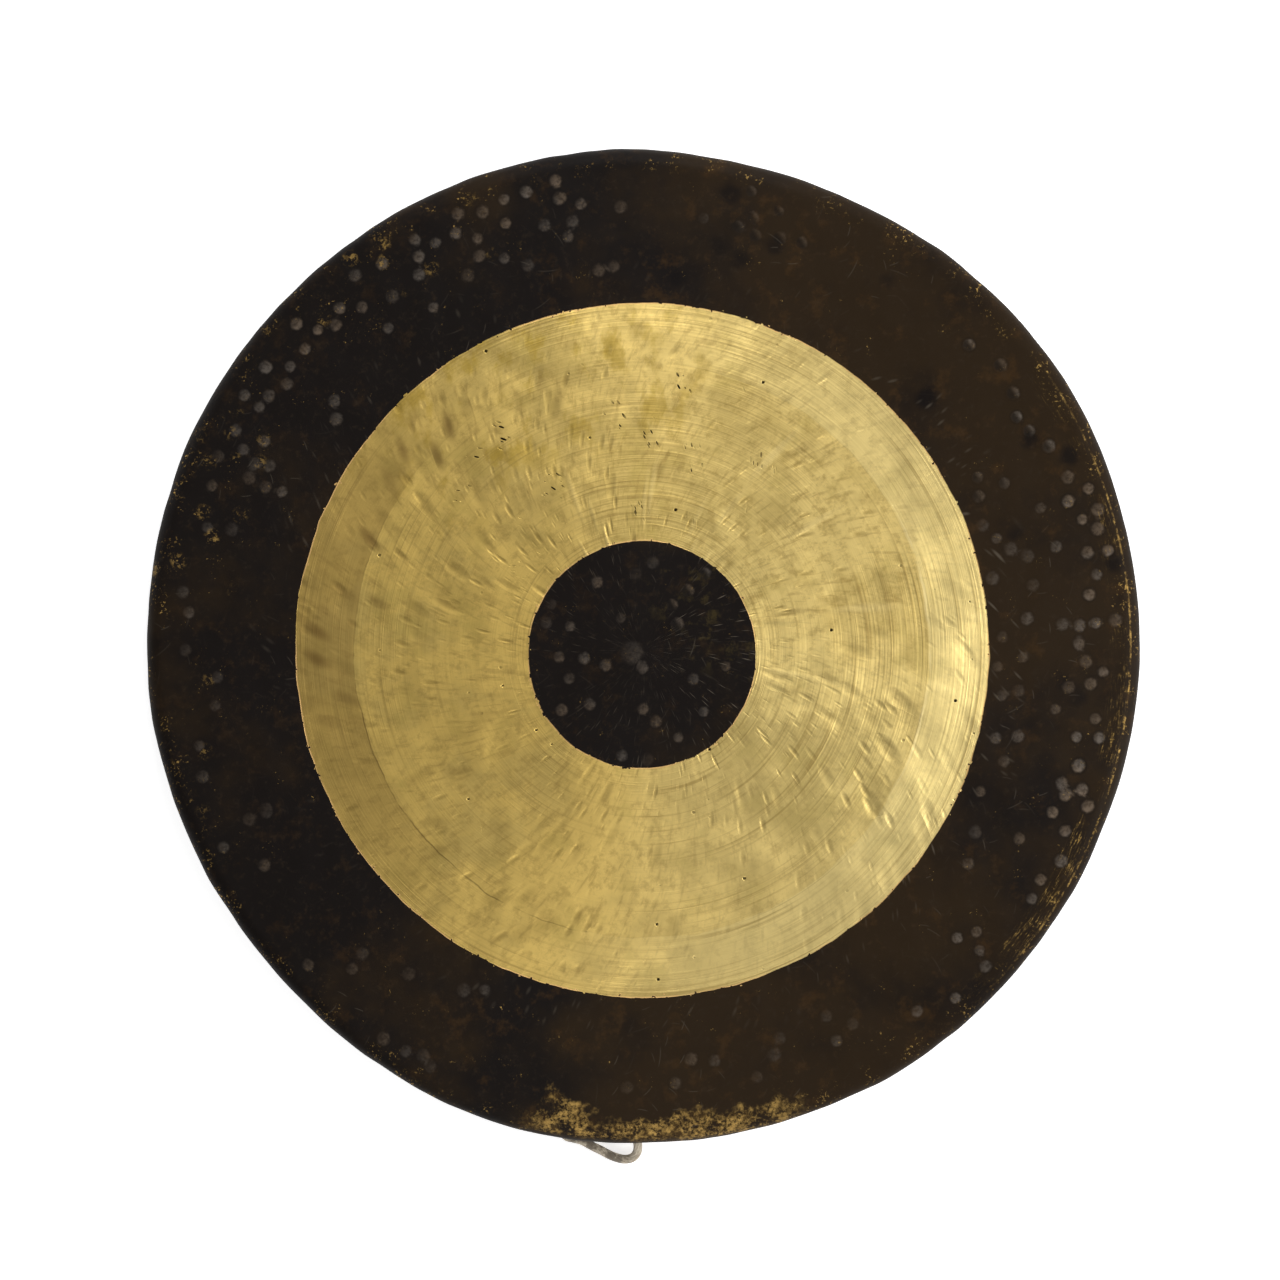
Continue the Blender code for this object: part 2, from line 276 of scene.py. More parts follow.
class Paint:
    """The nodes of one material. Each call adds a node and returns its output."""

    def __init__(self, name):
        self.material = bpy.data.materials.new(name)
        self.material.use_nodes = True
        self.tree = self.material.node_tree
        self.shader = self.tree.nodes["Principled BSDF"]

    def feed(self, target, value):
        if isinstance(value, bpy.types.NodeSocket):
            self.tree.links.new(value, target)
        else:
            target.default_value = value

    def node(self, kind, inputs, **settings):
        made = self.tree.nodes.new("ShaderNode" + kind)
        for key, value in settings.items():
            setattr(made, key, value)
        for key, value in inputs.items():
            self.feed(made.inputs[key], value)
        return made

    def math(self, operation, *values):
        made = self.node("Math", dict(enumerate(values)), operation=operation)
        return made.outputs[0]

    def add(self, *values):
        total = values[0]
        for value in values[1:]:
            total = self.math("ADD", total, value)
        return total

    def times(self, *values):
        total = values[0]
        for value in values[1:]:
            total = self.math("MULTIPLY", total, value)
        return total

    def rise(self, value, start, end):
        """0 at start and 1 at end, smoothly."""
        ends = {"Value": value, "From Min": start, "From Max": end}
        return self.node("MapRange", ends, interpolation_type="SMOOTHSTEP").outputs[0]

    def between(self, value, start, end, soft):
        """1 between start and end, 0 outside them."""
        opening = self.rise(value, start - soft, start)
        closing = self.rise(value, end + soft, end)
        return self.times(opening, closing)

    def vector(self, x, y, z):
        return self.node("CombineXYZ", {"X": x, "Y": y, "Z": z}).outputs[0]

    def scaled(self, vector, scale):
        return self.node("VectorMath", {0: vector, 1: scale}, operation="MULTIPLY").outputs[0]

    def noise(self, vector, scale, detail=2.0, rough=0.5):
        inputs = {"Vector": vector, "Scale": scale, "Detail": detail, "Roughness": rough}
        return self.node("TexNoise", inputs).outputs[0]

    def patches(self, vector, scale, low, high, detail=2.0, rough=0.5):
        """0 to 1 in soft random patches."""
        return self.rise(self.noise(vector, scale, detail, rough), low, high)

    def swing(self, vector, scale, amount, detail=2.0, rough=0.5):
        """A random value to both sides of 0."""
        return self.times(self.add(self.noise(vector, scale, detail, rough), -0.5), amount)

    def cells(self, vector, scale):
        """Distance to the nearest scattered point, and that point's random number."""
        made = self.node("TexVoronoi", {"Vector": vector, "Scale": scale})
        chance = self.node("SeparateColor", {"Color": made.outputs["Color"]})
        return made.outputs["Distance"], chance.outputs[0]

    def mix(self, factor, first, second):
        made = self.node("Mix", {0: factor, 6: first, 7: second}, data_type="RGBA")
        return made.outputs[2]

    def over(self, colour, tone, *amounts):
        """The colour with a tone laid over it, by the product of the amounts."""
        return self.mix(self.times(*amounts), colour, tone)

    def blend(self, factor, first, second):
        return self.node("Mix", {0: factor, 2: first, 3: second}, data_type="FLOAT").outputs[0]

    def place(self):
        return self.node("TexCoord", {}).outputs["Object"]

    def attribute(self, name):
        return self.node("Attribute", {}, attribute_name=name).outputs["Fac"]

    def parts(self, vector):
        """The vector's x, y and z."""
        split = self.node("SeparateXYZ", {"Vector": vector})
        return split.outputs["X"], split.outputs["Y"], split.outputs["Z"]

    def vector_attribute(self, name):
        """The three parts of a vector that the mesh carries."""
        return self.parts(self.node("Attribute", {}, attribute_name=name).outputs["Vector"])

    def length(self, x, y):
        flat = self.vector(x, y, 0.0)
        return self.node("VectorMath", {0: flat}, operation="LENGTH").outputs["Value"]

    def polar(self, place, centre):
        """The radius and angle about a point of the face."""
        x, y, _ = self.parts(place)
        x = self.math("SUBTRACT", x, centre[0])
        y = self.math("SUBTRACT", y, centre[1])
        return self.length(x, y), self.math("ARCTAN2", y, x)

    def wrapped(self, angle, radius, around, outward):
        """Polar coordinates as a vector without a seam, with its own scales round and outwards."""
        x = self.times(self.math("COSINE", angle), around)
        y = self.times(self.math("SINE", angle), around)
        return self.vector(x, y, self.times(radius, outward))

    def toward(self, angle, direction, start, end):
        """0 to 1 as the cosine of the angle to this direction, in degrees, goes from start to end."""
        cosine = self.math("COSINE", self.math("SUBTRACT", angle, radians(direction)))
        return self.rise(cosine, start, end)

    def surface(self, socket, value):
        self.feed(self.shader.inputs[socket], value)

    def bump(self, height):
        """Relief of this height in metres."""
        bumped = self.node("Bump", {"Height": height, "Distance": 1.0, "Strength": 1.0}).outputs[0]
        self.surface("Normal", bumped)


# ---------------------------------------------------------------- gong


def face_height(radius):
    return RIM_DEPTH + CROWN * (1 + cos(pi * radius / FACE_RADIUS)) / 2


def outline_wave(angle):
    return sum(height * np.cos(lobes * angle - start) for lobes, height, start in OUTLINE_WAVES)


def skin_rings():
    """The rings of points from the middle of the face over the rim to the middle of the inside.

    Each is its number of points, radius, height, direction outwards (radial, up) and 1 on the outer side.
    """
    around = GROWTH * FACE_RINGS
    inside_around = GROWTH * INSIDE_RINGS
    bend_height = RIM_DEPTH - SHOULDER_RADIUS
    rings = [(1, 0.0, face_height(0), (0, 1), 1)]
    for step in range(1, FACE_RINGS + 1):
        radius = FACE_RADIUS * step / FACE_RINGS
        rings.append((GROWTH * step, radius, face_height(radius), (0, 1), 1))
    for step in range(1, SHOULDER_STEPS + 1):
        angle = pi / 2 - (pi / 2 + RIM_TAPER) * step / SHOULDER_STEPS
        way = (cos(angle), sin(angle))
        spot = (FACE_RADIUS + SHOULDER_RADIUS * way[0], bend_height + SHOULDER_RADIUS * way[1])
        rings.append((around, *spot, way, 1))
    half = SHEET / 2
    bend = SHOULDER_RADIUS - half
    way = (cos(RIM_TAPER), -sin(RIM_TAPER))
    middle = (FACE_RADIUS + bend * way[0], bend_height + bend * way[1])
    wall = (middle[1] - half) / cos(RIM_TAPER)
    for step in range(1, WALL_STEPS + 1):
        down = wall * step / WALL_STEPS
        centre = (middle[0] - down * sin(RIM_TAPER), middle[1] - down * cos(RIM_TAPER))
        rings.append((around, centre[0] + half * way[0], centre[1] + half * way[1], way, 1))
    for step in range(1, LIP_STEPS + 1):
        angle = -RIM_TAPER - pi * step / LIP_STEPS
        lip = (centre[0] + half * cos(angle), centre[1] + half * sin(angle))
        rings.append((around, *lip, way, 1 - step / LIP_STEPS))
    for step in range(1, INSIDE_WALL_STEPS + 1):
        down = wall * (1 - step / INSIDE_WALL_STEPS)
        centre = (middle[0] - down * sin(RIM_TAPER), middle[1] - down * cos(RIM_TAPER))
        rings.append((inside_around, centre[0] - half * way[0], centre[1] - half * way[1], way, 0))
    inner = SHOULDER_RADIUS - SHEET
    for step in range(1, INSIDE_BEND_STEPS + 1):
        angle = -RIM_TAPER + (pi / 2 + RIM_TAPER) * step / INSIDE_BEND_STEPS
        way = (cos(angle), sin(angle))
        rings.append((inside_around, FACE_RADIUS + inner * way[0], bend_height + inner * way[1], way, 0))
    for step in range(INSIDE_RINGS - 1, 0, -1):
        radius = FACE_RADIUS * step / INSIDE_RINGS
        rings.append((GROWTH * step, radius, face_height(radius) - SHEET, (0, 1), 0))
    rings.append((1, 0.0, face_height(0) - SHEET, (0, 1), 0))
    return rings


def stitched(first, first_count, second, second_count):
    """Triangles between two rings of points that both start at angle 0."""
    faces = []
    a = b = 0
    while a < first_count or b < second_count:
        here = (first + a % first_count, second + b % second_count)
        if b < second_count and (a == first_count or (b + 1) * first_count <= (a + 1) * second_count):
            b += 1
            face = (*here, second + b % second_count)
        else:
            a += 1
            face = (*here, first + a % first_count)
        if len(set(face)) == 3:
            faces.append(face)
    return faces


def waves_of_hammering(points, rng, count, wavelength, height):
    """A smooth random height at each point, made of this many waves."""
    total = np.zeros(len(points))
    for _ in range(count):
        way = rng.normal(size=3)
        way /= np.linalg.norm(way)
        length = wavelength * rng.uniform(*WAVELENGTHS)
        phase = rng.uniform(0, 2 * pi)
        total += np.cos(points @ way * (2 * pi / length) + phase)
    return total * height / np.sqrt(count / 2)


def free_spot(marks, pick):
    """A place picked clear of the marks so far, or the last one tried."""
    for _ in range(MARK_TRIES):
        x, y = pick()
        if all(hypot(x - mark[0], y - mark[1]) > MARK_SPACING for mark in marks):
            break
    return x, y


def add_patch_marks(marks, rng, low, high, near, far, count, strength):
    """Marks scattered over one patch of the dark band, some of them with a partner."""

    def pick():
        angle, out = radians(rng.uniform(low, high)), rng.uniform(near, far)
        return out * cos(angle), out * sin(angle)

    for _ in range(count):
        x, y = free_spot(marks, pick)
        depth = strength * rng.uniform(*MARK_STRENGTHS)
        marks.append((x, y, MARK_RADIUS * rng.uniform(*MARK_SIZES), depth))
        if rng.uniform() < PAIR_SHARE and hypot(x, y) < far - MARK_RADIUS:
            turn, apart = rng.uniform(0, 2 * pi), rng.uniform(*PAIR_APART)
            partner = (x + apart * cos(turn), y + apart * sin(turn))
            marks.append((*partner, MARK_RADIUS, depth * PAIR_STRENGTH))


def add_disc_marks(marks, rng):
    """Marks scattered over the dark disc, round a worn blotch near its middle."""

    def pick():
        angle, out = rng.uniform(0, 2 * pi), DISC_RADIUS * DISC_SHARE * np.sqrt(rng.uniform())
        return DISC_CENTRE[0] + out * cos(angle), DISC_CENTRE[1] + out * sin(angle)

    marks.append(DISC_BLOTCH)
    for _ in range(DISC_MARKS):
        x, y = free_spot(marks, pick)
        size = MARK_RADIUS * rng.uniform(*DISC_MARK_SIZES)
        marks.append((x, y, size, rng.uniform(*DISC_MARK_STRENGTHS)))


def hammer_marks(rng):
    """Each round mark as x, y, radius and strength."""
    marks = []
    for patch in MARK_PATCHES:
        add_patch_marks(marks, rng, *patch)
    add_disc_marks(marks, rng)
    return marks


def mark_offsets(points, marks):
    """How far the nearest mark is, and the offset from it, both in radii of that mark.

    The offset's third part is the mark's strength.
    """
    nearest, offsets = np.full(len(points), MARK_REACH), np.zeros((len(points), 3))
    offsets[:, 0] = MARK_REACH
    for x, y, radius, strength in marks:
        across, along = (points[:, 0] - x) / radius, (points[:, 1] - y) / radius
        away = np.hypot(across, along)
        closer = away < nearest
        offset = np.stack([across, along, np.full(len(points), strength)], axis=1)
        offsets[closer] = offset[closer]
        nearest = np.minimum(nearest, away)
    return nearest, offsets


def skin_points(rings):
    """Each point of the skin, its way outwards, its side of the sheet, and the triangles."""
    points, ways, sides, starts, faces = [], [], [], [], []
    for count, radius, height, way, side in rings:
        starts.append(len(points))
        for step in range(count):
            angle = 2 * pi * step / count
            points.append((radius * cos(angle), radius * sin(angle), height))
            ways.append((way[0] * cos(angle), way[0] * sin(angle), way[1]))
            sides.append(side)
    for index in range(len(rings) - 1):
        faces += stitched(starts[index], rings[index][0], starts[index + 1], rings[index + 1][0])
    return np.array(points), np.array(ways), np.array(sides, float), faces


def hammered(points, ways, rng):
    """The points moved along their ways by the hammering's waves and the slopes of the scraped bands."""
    radius = np.hypot(points[:, 0], points[:, 1])
    on_face = np.clip((FACE_RADIUS + BAND_DROP - radius) / BAND_FADE, 0, 1)
    on_face *= points[:, 2] > RIM_DEPTH - BAND_DROP
    height = waves_of_hammering(points, rng, *BROAD_WAVES) + waves_of_hammering(points, rng, *SMALL_WAVES)
    height += np.interp(radius, *zip(*BAND_SLOPES)) * on_face
    above_edge = np.clip(points[:, 2] / STILL_EDGE, 0, 1)
    return points + ways * (height * above_edge)[:, None]


def out_of_round(points, moved):
    """The moved points with the gong's uneven outline, in the middle of the part's gong."""
    radius = np.hypot(points[:, 0], points[:, 1])
    angle = np.arctan2(points[:, 1], points[:, 0])
    reach = np.minimum(radius / GONG_RADIUS, 1) ** 2
    outward = np.stack([np.cos(angle), np.sin(angle), np.zeros(len(points))], axis=1)
    shaped = moved + outward * (reach * outline_wave(angle))[:, None]
    for axis in (0, 1):
        middle = (shaped[:, axis].min() + shaped[:, axis].max()) / 2
        shaped[:, axis] += (GONG_LOW[axis] + GONG_HIGH[axis]) / 2 - middle
    return shaped


def gong_mesh():
    """The sheet as one closed skin, which carries its side and its hammer marks for the material."""
    rng = np.random.default_rng(SEED)
    points, ways, sides, faces = skin_points(skin_rings())
    nearest, offsets = mark_offsets(points, hammer_marks(rng))
    shaped = out_of_round(points, hammered(points, ways, rng))
    mesh = bpy.data.meshes.new("bronze_gong")
    mesh.from_pydata(shaped.tolist(), [], faces)
    for name, values in (("front", sides), ("mark_away", nearest)):
        mesh.attributes.new(name, "FLOAT", "POINT").data.foreach_set("value", values)
    mesh.attributes.new("mark_offset", "FLOAT_VECTOR", "POINT").data.foreach_set("vector", offsets.ravel())
    return mesh


def hole_drill(x):
    """A cylinder along the rim's radius where the cord goes through."""
    wall_y = -np.sqrt(GONG_RADIUS**2 - x**2)
    turn = Vector((x, wall_y, 0)).to_track_quat("Z", "Y").to_matrix().to_4x4()
    shape = bmesh.new()
    bmesh.ops.create_cone(
        shape,
        cap_ends=True,
        segments=DRILL_SIDES,
        radius1=HOLE_RADIUS,
        radius2=HOLE_RADIUS,
        depth=DRILL_LENGTH,
        matrix=Matrix.Translation((x, wall_y, HOLE_HEIGHT)) @ turn,
    )
    mesh = bpy.data.meshes.new("hole_drill")
    shape.to_mesh(mesh)
    shape.free()
    drill = bpy.data.objects.new("hole_drill", mesh)
    bpy.context.scene.collection.objects.link(drill)
    return drill


def drill_holes(gong):
    """Cut the two cord holes through the rim."""
    drills = [hole_drill(x) for x in HOLE_XS]
    for drill in drills:
        cut = gong.modifiers.new("hole", "BOOLEAN")
        cut.operation = "DIFFERENCE"
        cut.solver = "MANIFOLD"
        cut.object = drill
    bpy.context.view_layer.update()
    graph = bpy.context.evaluated_depsgraph_get()
    mesh = bpy.data.meshes.new_from_object(gong.evaluated_get(graph))
    gong.modifiers.clear()
    gong.data = mesh
    for drill in drills:
        bpy.data.objects.remove(drill)


def scraped_edge(paint, place, ring_radius, disc_radius):
    """How far a point lies inside the scraped ring, in metres, below 0 outside it."""
    wander = paint.swing(place, 45.0, 0.0026, 3.0)
    chip = paint.times(paint.patches(place, 330.0, 0.60, 0.74), 0.0016)
    flat = paint.scaled(place, (1.0, 1.0, 0.0))
    burr = paint.times(paint.patches(flat, 260.0, 0.66, 0.76, 1.0), 0.0014)
    edge = paint.add(wander, burr, paint.times(chip, -1.0))
    inside = paint.math("SUBTRACT", paint.add(edge, RING_RADIUS), ring_radius)
    outside = paint.math("SUBTRACT", paint.add(edge, disc_radius), DISC_RADIUS)
    return paint.math("MINIMUM", inside, outside)


def strokes(paint, angle, radius, lean, across, along, spread, fewest=0.25):
    """How much of each point short outward strokes cover, 0 to 1. They lean this way and that."""
    leaning = paint.add(angle, paint.times(lean, paint.add(radius, -0.14)))
    grid = paint.wrapped(leaning, radius, 0.15 / across, 1 / along)
    away, chance = paint.cells(grid, 1.0)
    shape = paint.rise(away, spread, spread * 0.15)
    return paint.times(shape, paint.rise(chance, fewest, 0.95))


def scrape_lines(paint, angle, radius, spacing, arcs):
    """Fine concentric lines, about 0 on average."""
    grid = paint.wrapped(angle, radius, arcs, 1 / spacing)
    return paint.add(paint.noise(grid, 1.0, 2.0, 0.6), -0.5)


def scratches(paint, place, cell, length, width, fewest):
    """Short thin marks, each in its own direction, one to a cell at most."""
    grid = paint.scaled(place, (1 / cell, 1 / cell, 0.0))
    spots = paint.node("TexVoronoi", {"Vector": grid, "Scale": 1.0}, voronoi_dimensions="2D")
    chance = paint.node("SeparateColor", {"Color": spots.outputs["Color"]})
    ends = {0: grid, 1: spots.outputs["Position"]}
    offset = paint.node("VectorMath", ends, operation="SUBTRACT").outputs[0]
    spin = {"Vector": offset, "Angle": paint.times(chance.outputs[0], pi)}
    along, across, _ = paint.parts(paint.node("VectorRotate", spin, rotation_type="Z_AXIS").outputs[0])
    bent = paint.add(across, paint.times(along, along, 0.25))
    thin = paint.rise(paint.math("ABSOLUTE", bent), width / cell, 0.0)
    short = paint.rise(paint.math("ABSOLUTE", along), length / cell / 2, length / cell / 5)
    return paint.times(thin, short, paint.rise(chance.outputs[1], fewest, 1.0))


def bronze_tones(paint, place, angle, radius, dents):
    """The scraped metal: painted shade browner on the ring's left, painted light paler on its right,
    clouded, streaked, and dented with painted shade and dirt in the dents.
    """
    # Painted light and shade: the ring goes from a shaded brown on the left to a lit pale tone on the right.
    lit = paint.toward(angle, 12, -1.0, 1.0)
    colour = paint.mix(lit, BRONZE_SHADED_LEFT, BRONZE_LIT_RIGHT)
    cloud = paint.patches(place, 14.0, 0.46, 0.62, 5.0, 0.65)
    colour = paint.over(colour, BRONZE_CLOUD, cloud, 0.60)
    olive = paint.patches(paint.scaled(place, (-1.0, 1.0, 1.0)), 33.0, 0.50, 0.68, 4.0, 0.6)
    colour = paint.over(colour, BRONZE_OLIVE, olive, 0.45)
    grain = paint.patches(place, 150.0, 0.46, 0.70, 4.0, 0.7)
    colour = paint.over(colour, BRONZE_GRAIN, grain, 0.55)
    turned = paint.add(angle, paint.times(radius, 2.2))
    streaks = paint.patches(paint.wrapped(turned, radius, 46.0, 70.0), 1.0, 0.52, 0.72, 3.0, 0.6)
    colour = paint.over(colour, BRONZE_STREAK, streaks, 0.45)
    # Painted shade with some dirt: the dents are darkened.
    return paint.over(colour, BRONZE_DENT_DIRT_AND_SHADE, dents, 0.50)


def bronze_stains(paint, place, angle, radius, colour):
    """Yellow patches at the ring's top left, and brown stains at its upper left."""
    top_left = paint.toward(angle, 112, 0.70, 0.95)
    yellow = paint.patches(paint.scaled(place, (1.0, 0.6, 1.0)), 52.0, 0.50, 0.66, 4.0, 0.65)
    outer = paint.rise(radius, 0.11, 0.15)
    colour = paint.over(colour, BRONZE_YELLOW, yellow, top_left, outer, 0.60)
    smudge = strokes(paint, paint.add(angle, 3.0), radius, 2.4, 0.0115, 0.030, 0.42)
    upper_left = paint.toward(angle, 158, 0.75, 0.95)
    outermost = paint.rise(radius, 0.135, 0.190)
    amount = paint.add(0.22, paint.times(upper_left, outermost, 0.75))
    return paint.over(colour, BRONZE_STAIN, smudge, amount)


def bronze_step(paint, place, angle, radius, colour):
    """The step in the scraping: painted shade past it on the left, painted light past it on the right, and a
    painted highlight and a dark line along it.
    """
    past_step = paint.add(radius, paint.swing(place, 26.0, 0.007, 4.0, 0.60), -OUTER_STEP)
    outside = paint.rise(past_step, -0.0004, 0.0004)
    # Painted shade past the step on the left, and painted light past it on the right and over the lower
    # right.
    left = paint.toward(angle, 180, 0.55, 0.98)
    colour = paint.over(colour, BRONZE_OUTER_SHADE, outside, left, 0.50)
    right = paint.toward(angle, -8, -0.3, 0.9)
    colour = paint.over(colour, BRONZE_PAINTED_LIGHT, outside, right, 0.36)
    lower_right = paint.toward(angle, 316, 0.45, 0.95)
    colour = paint.over(colour, BRONZE_PAINTED_LIGHT, lower_right, 0.16)
    patchy = paint.patches(place, 38.0, 0.36, 0.58, 3.0)
    # A painted highlight along the step on the right.
    near_right = paint.toward(angle, 2, 0.80, 0.96)
    step_highlight = paint.between(past_step, -0.0005, 0.0003, 0.0009)
    colour = paint.over(colour, BRONZE_STEP_HIGHLIGHT, step_highlight, near_right, patchy, 0.40)
    lower_left = paint.toward(angle, 205, 0.45, 0.9)
    hairline = paint.times(paint.between(past_step, -0.0001, 0.0001, 0.0005), patchy)
    return paint.over(colour, BRONZE_HAIRLINE, hairline, paint.add(0.10, paint.times(lower_left, 0.55)))


def black_pits(paint, place, angle, radius):
    """Flaws of the casting that the scraping has opened: single holes, and rows of them at the top."""
    away, chance = paint.cells(paint.scaled(place, (1.0, 1.0, 0.3)), 95.0)
    single = paint.times(paint.rise(away, 0.13, 0.06), paint.rise(chance, 0.62, 0.70))
    single = paint.times(single, paint.patches(place, 17.0, 0.50, 0.58))
    slits = strokes(paint, angle, radius, -4.0, 0.0026, 0.0056, 0.42, 0.0)
    away, chance = paint.cells(paint.scaled(place, (1.0, 0.7, 0.3)), 42.0)
    cluster = paint.times(paint.rise(away, 0.34, 0.20), paint.rise(chance, 0.12, 0.22))
    at_top = paint.toward(angle, 100, 0.60, 0.85)
    top = paint.times(at_top, paint.between(radius, 0.086, 0.168, 0.010))
    rows = paint.times(paint.rise(slits, 0.12, 0.30), cluster, top)
    return paint.math("MAXIMUM", single, rows)


def scraped_ring(paint, place, angle, radius, depth, lean):
    """The scraped ring's colour, and the height of its relief in metres."""
    dents = strokes(paint, angle, radius, lean, 0.0074, 0.017, 0.37, 0.15)
    small_dents = strokes(paint, paint.add(angle, 1.0), radius, lean, 0.0045, 0.011, 0.34, 0.3)
    hollows = strokes(paint, paint.add(angle, 2.0), radius, lean, 0.0140, 0.030, 0.44, 0.1)
    slight = paint.times(lean, 0.4)
    sweeps = strokes(paint, paint.add(angle, 4.0), radius, slight, 0.0105, 0.070, 0.42, 0.30)
    sweeps = paint.times(sweeps, paint.toward(angle, 62, -0.1, 0.5))
    near_edge = paint.rise(depth, 0.022, 0.0)
    lines = scrape_lines(paint, angle, radius, 0.0013, 1.5)
    coarse = scrape_lines(paint, angle, radius, 0.0027, 1.2)
    coarse = paint.times(coarse, paint.add(1.0, paint.times(near_edge, -0.75)))
    strength = paint.add(0.45, paint.patches(place, 12.0, 0.40, 0.65), near_edge)

    dented = paint.math("MAXIMUM", dents, paint.times(hollows, 0.8))
    colour = bronze_tones(paint, place, angle, radius, dented)
    colour = bronze_stains(paint, place, angle, radius, colour)
    colour = bronze_step(paint, place, angle, radius, colour)
    lined = paint.rise(paint.times(paint.add(lines, coarse), strength), -0.02, 0.5)
    colour = paint.over(colour, BRONZE_LINE, lined, 0.58)
    # Painted highlights on the long raised sweeps at the ring's upper right.
    colour = paint.over(colour, BRONZE_SWEEP_HIGHLIGHT, sweeps, 0.28)
    pits = black_pits(paint, place, angle, radius)
    colour = paint.over(colour, BRONZE_PIT, pits)
    rim_line = paint.between(depth, -0.0001, 0.0005, 0.0003)
    colour = paint.over(colour, RING_EDGE, rim_line, paint.patches(place, 30.0, 0.35, 0.55), 0.8)

    height = paint.add(
        paint.times(dents, -0.00025),
        paint.times(small_dents, -0.00011),
        paint.times(hollows, -0.00040),
        paint.times(sweeps, 0.00028),
        paint.times(lines, strength, 0.000130),
        paint.times(coarse, strength, 0.000100),
        paint.times(pits, -0.0004),
        paint.times(paint.noise(place, 260.0, 3.0, 0.6), 0.00005),
    )
    return colour, height


def skin_tones(paint, place, angle, radius):
    """The dark skin that the fire left: black on the left, browner and sooty on the upper right."""
    cloud = paint.noise(place, 9.0, 5.0, 0.6)
    outer = paint.rise(radius, 0.10, 0.20)
    upper_right = paint.toward(angle, 42, 0.25, 0.95)
    bottom = paint.toward(angle, 280, 0.35, 0.95)
    side = paint.times(paint.math("MAXIMUM", upper_right, paint.times(bottom, 0.8)), outer)
    brown = paint.rise(paint.add(cloud, paint.times(side, 0.26)), 0.52, 0.78)
    colour = paint.mix(brown, SKIN_BLACK, SKIN_BROWN)
    rust = paint.patches(place, 60.0, 0.52, 0.72, 4.0, 0.7)
    colour = paint.over(colour, SKIN_RUST, rust, paint.add(0.22, paint.times(side, 0.50)))
    away, chance = paint.cells(paint.scaled(place, (1.0, 1.0, 0.2)), 34.0)
    soot = paint.rise(paint.add(away, paint.swing(place, 110.0, 0.25, 3.0)), 0.30, 0.08)
    colour = paint.over(colour, SKIN_SOOT, soot, paint.rise(chance, 0.35, 0.60), upper_right, outer, 0.7)
    return paint.over(colour, SKIN_GRAIN, paint.patches(place, 240.0, 0.52, 0.80, 3.0, 0.7), 0.40)


def hammer_mark_layers(paint, place, angle, front):
    """How pale each hammer mark is from wear and a painted lit crescent, how much painted shade it has, and
    its bowl, all 0 to 1.
    """
    mark_x, mark_y, force = paint.vector_attribute("mark_offset")
    away = paint.length(mark_x, mark_y)
    away = paint.math("MAXIMUM", away, paint.add(paint.attribute("mark_away"), -0.12))
    ragged = paint.swing(place, 330.0, 0.55, 3.0, 0.6)
    reach = paint.times(paint.rise(paint.add(away, ragged), 1.12, 0.62), front)
    # Painted light and shade: a lit crescent on one side of each mark, painted shade on the far side of the
    # marks at the upper right, and a darker ring round every mark.
    on_upper_right = paint.toward(angle, 52, 0.82, 0.94)
    lit_lower = paint.add(paint.times(mark_x, 0.75), paint.times(mark_y, -0.35))
    lit_upper = paint.add(paint.times(mark_x, 0.70), paint.times(mark_y, 0.45))
    lit_upper = paint.rise(lit_upper, -0.25, 0.60)
    lit_side = paint.blend(on_upper_right, paint.rise(lit_lower, -1.0, 0.6), lit_upper)
    worn_and_lit = paint.times(reach, force, paint.add(0.14, paint.times(lit_side, 0.86)))
    shade = paint.times(reach, on_upper_right, paint.add(1.0, paint.times(lit_upper, -1.0)), 0.60)
    rim = paint.times(paint.between(away, 0.95, 1.1, 0.25), front, force)
    shade = paint.math("MAXIMUM", shade, paint.times(rim, 0.35))
    bowl = paint.math("MAXIMUM", paint.add(1.0, paint.times(away, away, -1.0)), 0.0)
    bowl = paint.times(bowl, paint.math("SQRT", bowl), paint.add(0.3, force), front)
    return worn_and_lit, shade, bowl


def wear_by_holes(paint, angle, radius, upper, grit, cloud, broad, profile):
    """The worn patch round the cord holes."""
    fibre = paint.noise(paint.wrapped(angle, profile, 120.0, 420.0), 1.0, 4.0, 0.7)
    near_holes = paint.toward(angle, -87.5, cos(radians(18)), cos(radians(12)))
    depth = paint.add(radius, paint.times(paint.add(broad, cloud, -1.0), 0.040))
    patch = paint.times(near_holes, paint.rise(depth, 0.283, 0.292), paint.rise(radius, 0.3005, 0.2975))
    rubbing = paint.add(fibre, grit, cloud, paint.times(upper, 0.16), -0.16)
    return paint.times(patch, paint.rise(rubbing, 1.36, 1.66), 0.85)


def wear_on_right(paint, angle, radius, upper, grit, cloud, broad, profile):
    """The rubbed band and the thin line along the shoulder on the right."""
    hair = paint.noise(paint.wrapped(angle, profile, 34.0, 1100.0), 1.0, 3.0, 0.65)
    right = paint.toward(angle, -6, cos(radians(44)), cos(radians(20)))
    band = paint.times(paint.between(radius, 0.2845, 0.2915, 0.004), right, paint.rise(broad, 0.42, 0.58))
    gritty = paint.add(0.25, paint.rise(grit, 0.45, 0.65))
    band = paint.times(band, upper, paint.rise(hair, 0.50, 0.68), gritty)
    line = paint.times(paint.between(radius, 0.2938, 0.2944, 0.0005), right, upper)
    line = paint.times(line, paint.rise(paint.add(grit, cloud), 0.90, 1.15), 0.7)
    return band, line


